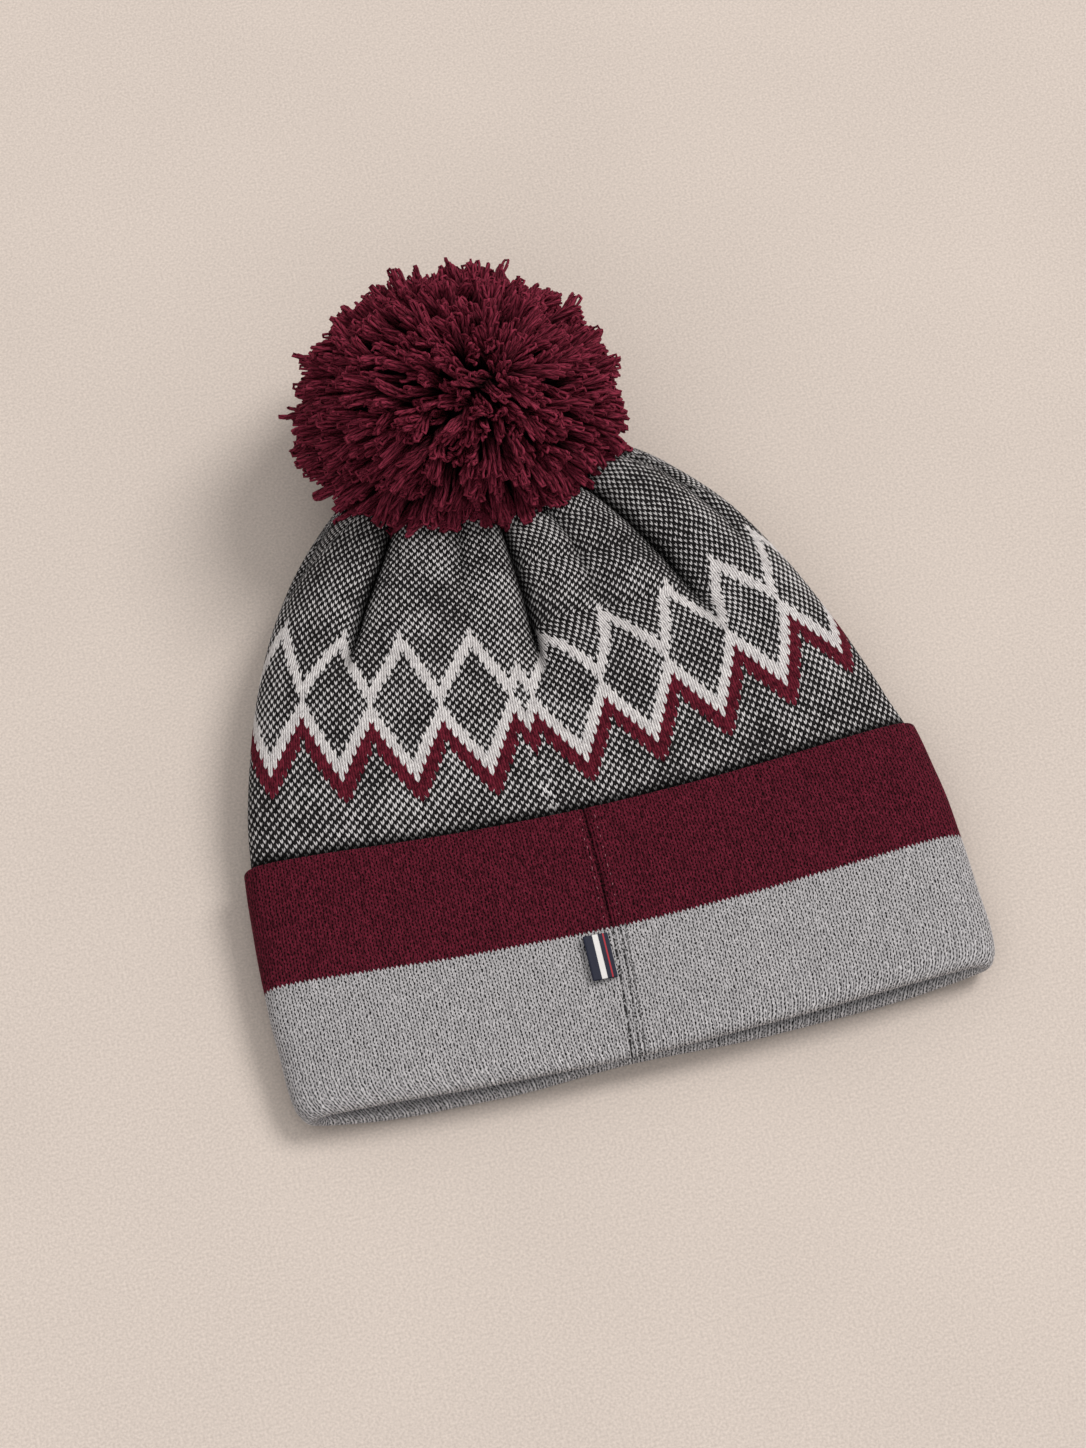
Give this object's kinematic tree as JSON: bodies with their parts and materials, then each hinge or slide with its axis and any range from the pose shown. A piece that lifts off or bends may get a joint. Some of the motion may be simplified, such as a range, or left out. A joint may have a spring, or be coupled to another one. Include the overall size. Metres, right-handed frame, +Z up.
{
  "type": "knitted bobble hat with a turned-up cuff",
  "caption": "Knitted bobble hat lying flat: a gathered, patterned crown, a deep turned-up cuff with a side tab at the back seam, and a large yarn bobble.",
  "frame": {"origin": "bottom centre of the whole hat, on the surface it lies on", "axes": "+Z up from the surface, +Y from the mouth towards the bobble, +X to the right seen from the mouth with the back seam up"},
  "size_m": [0.227, 0.276, 0.0858],
  "materials": {
    "crown_knit": "two-colour birdseye jacquard knit in black and pale grey, with a burgundy zigzag under a row of off-white outlined diamonds",
    "cuff_knit": "close plain knit, upper half burgundy and lower half heather grey",
    "bobble_yarn": "matt burgundy acrylic yarn ends, cut to a ball",
    "tab_ribbon": "narrow woven ribbon, navy with a pale stripe and a thin red line"
  },
  "bodies": {
    "root": {"crown": "crown_knit", "cuff": "cuff_knit", "bobble": "bobble_yarn", "tab": "tab_ribbon"}
  },
  "joints": []
}
